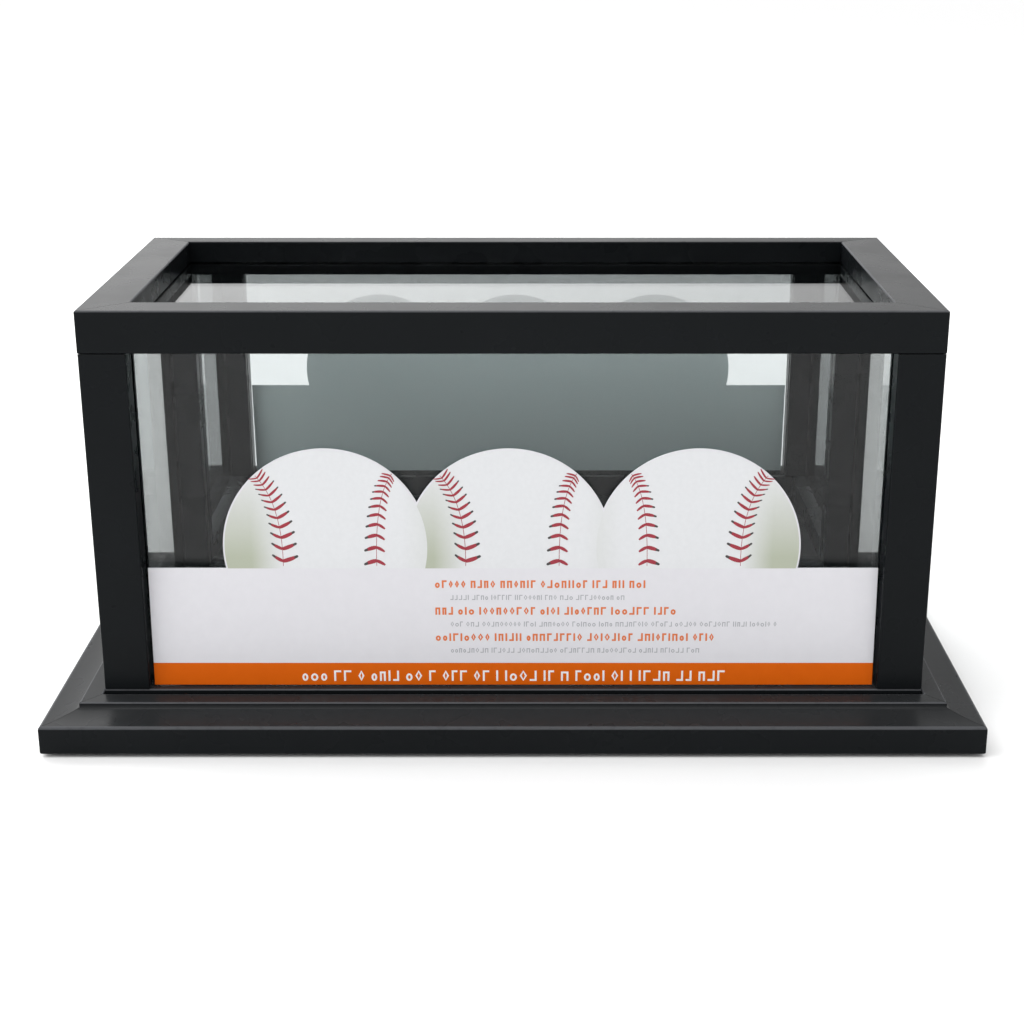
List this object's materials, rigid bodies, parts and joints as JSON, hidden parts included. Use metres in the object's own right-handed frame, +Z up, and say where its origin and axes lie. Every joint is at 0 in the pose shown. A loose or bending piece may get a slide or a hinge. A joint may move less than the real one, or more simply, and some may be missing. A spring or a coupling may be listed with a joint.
{
  "type": "display case",
  "caption": "Table-top display case with a lift-off glazed cover, a mirrored back, a wider coved base and a loose die-cut card in the front recess.",
  "frame": {"origin": "middle of the footprint, on the table", "axes": "+X to the right along the long side, -Y out of the front, +Z up"},
  "size_m": [0.294, 0.142, 0.139],
  "materials": {
    "black_lacquer": "satin black lacquer on moulded wood fibre board",
    "clear_glass": "clear float glass, 2 mm",
    "silvered_glass": "mirror glass, 2 mm, silvered on the back",
    "floor_paint": "black painted fibre board",
    "backing": "black faced hardboard",
    "foot_felt": "black felt pad",
    "printed_card": "coated white card, printed on the front, bare grey-green back"
  },
  "bodies": {
    "base": {"base_moulding_front": "black_lacquer", "base_moulding_back": "black_lacquer", "base_moulding_left": "black_lacquer", "base_moulding_right": "black_lacquer", "floor_board": "floor_paint", "foot_pad_front_left": "foot_felt", "foot_pad_front_right": "foot_felt", "foot_pad_back_left": "foot_felt", "foot_pad_back_right": "foot_felt"},
    "cover": {"bottom_rail_front": "black_lacquer", "bottom_rail_back": "black_lacquer", "bottom_rail_left": "black_lacquer", "bottom_rail_right": "black_lacquer", "post_front_left": "black_lacquer", "post_front_right": "black_lacquer", "post_back_left": "black_lacquer", "post_back_right": "black_lacquer", "top_rail_front": "black_lacquer", "top_rail_back": "black_lacquer", "top_rail_left": "black_lacquer", "top_rail_right": "black_lacquer", "front_pane": "clear_glass", "left_pane": "clear_glass", "right_pane": "clear_glass", "top_pane": "clear_glass", "mirror_pane": "silvered_glass", "backing_board": "backing"},
    "card": {"insert_card": "printed_card"}
  },
  "joints": [
    {"name": "cover_lift", "type": "slide", "parent": "base", "child": "cover", "axis": [0, 0, 1], "range_m": [0, 0.15]},
    {"name": "card_pull", "type": "slide", "parent": "cover", "child": "card", "axis": [0, -1, 0], "range_m": [0, 0.06]}
  ]
}
